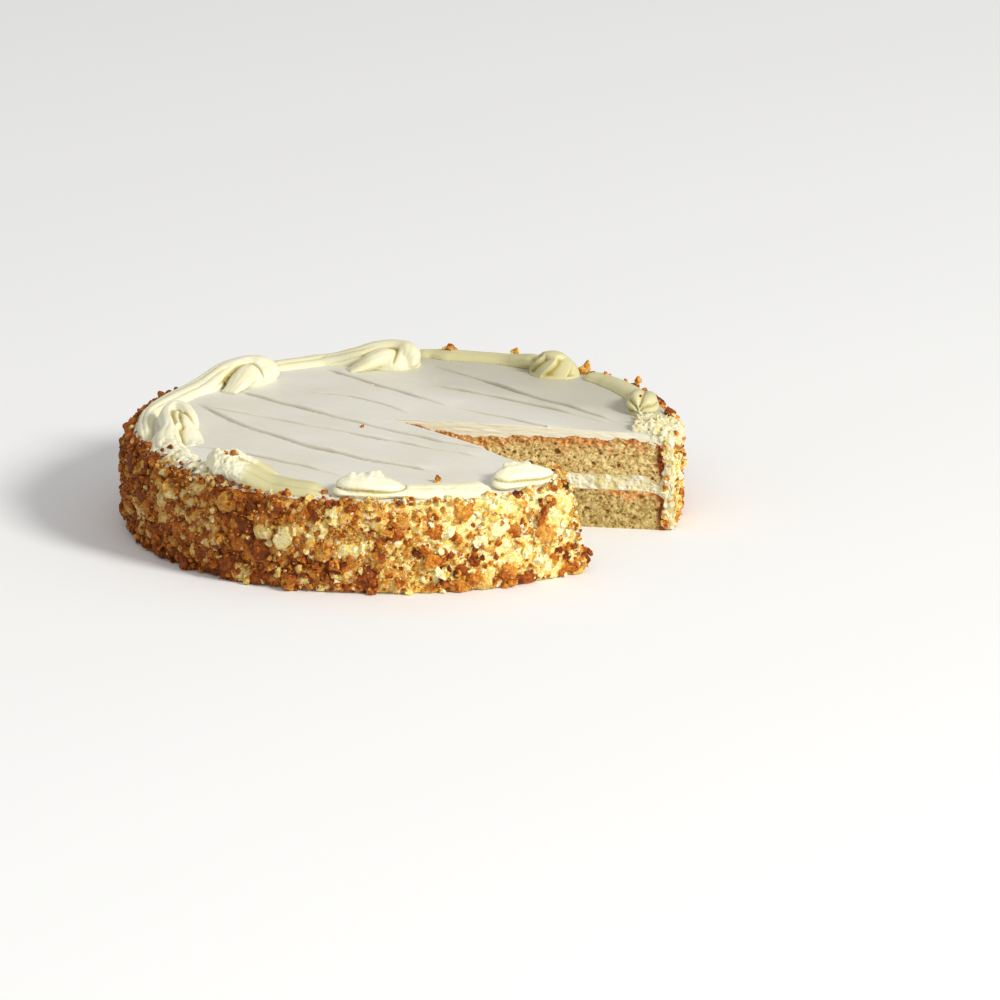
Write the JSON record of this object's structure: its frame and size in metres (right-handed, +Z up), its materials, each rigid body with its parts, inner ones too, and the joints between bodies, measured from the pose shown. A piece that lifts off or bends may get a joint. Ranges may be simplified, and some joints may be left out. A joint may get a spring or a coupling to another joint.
{
  "type": "lemon cake",
  "caption": "Round layered cream cake with one slice cut out, crumb-coated side, ridged cream top and a rim of piped cream swirls.",
  "frame": {"origin": "centre of the cake's round outline, on the plane that it rests on", "axes": "+Z up; the missing slice opens towards +X and -Y, between azimuths -12.8 and -51.8 degrees about +Z"},
  "size_m": [0.26, 0.26, 0.0568],
  "materials": {
    "sponge": "open sponge crumb, dull",
    "filling_cream": "pale cream, dull",
    "top_cream": "smooth spread cream, satin",
    "piped_cream": "piped pale yellow cream, satin",
    "crumb_coat": "cream under golden cake crumbs, rough"
  },
  "bodies": {
    "root": {"sponge_bottom": "sponge", "filling": "filling_cream", "sponge_top": "sponge", "top_cream": "top_cream", "side_coat": "crumb_coat", "swirl_1": "piped_cream", "swirl_2": "piped_cream", "swirl_3": "piped_cream", "swirl_4": "piped_cream", "swirl_5": "piped_cream", "swirl_6": "piped_cream", "swirl_7": "piped_cream", "swirl_8": "piped_cream", "tail_remnant": "piped_cream"}
  },
  "joints": []
}
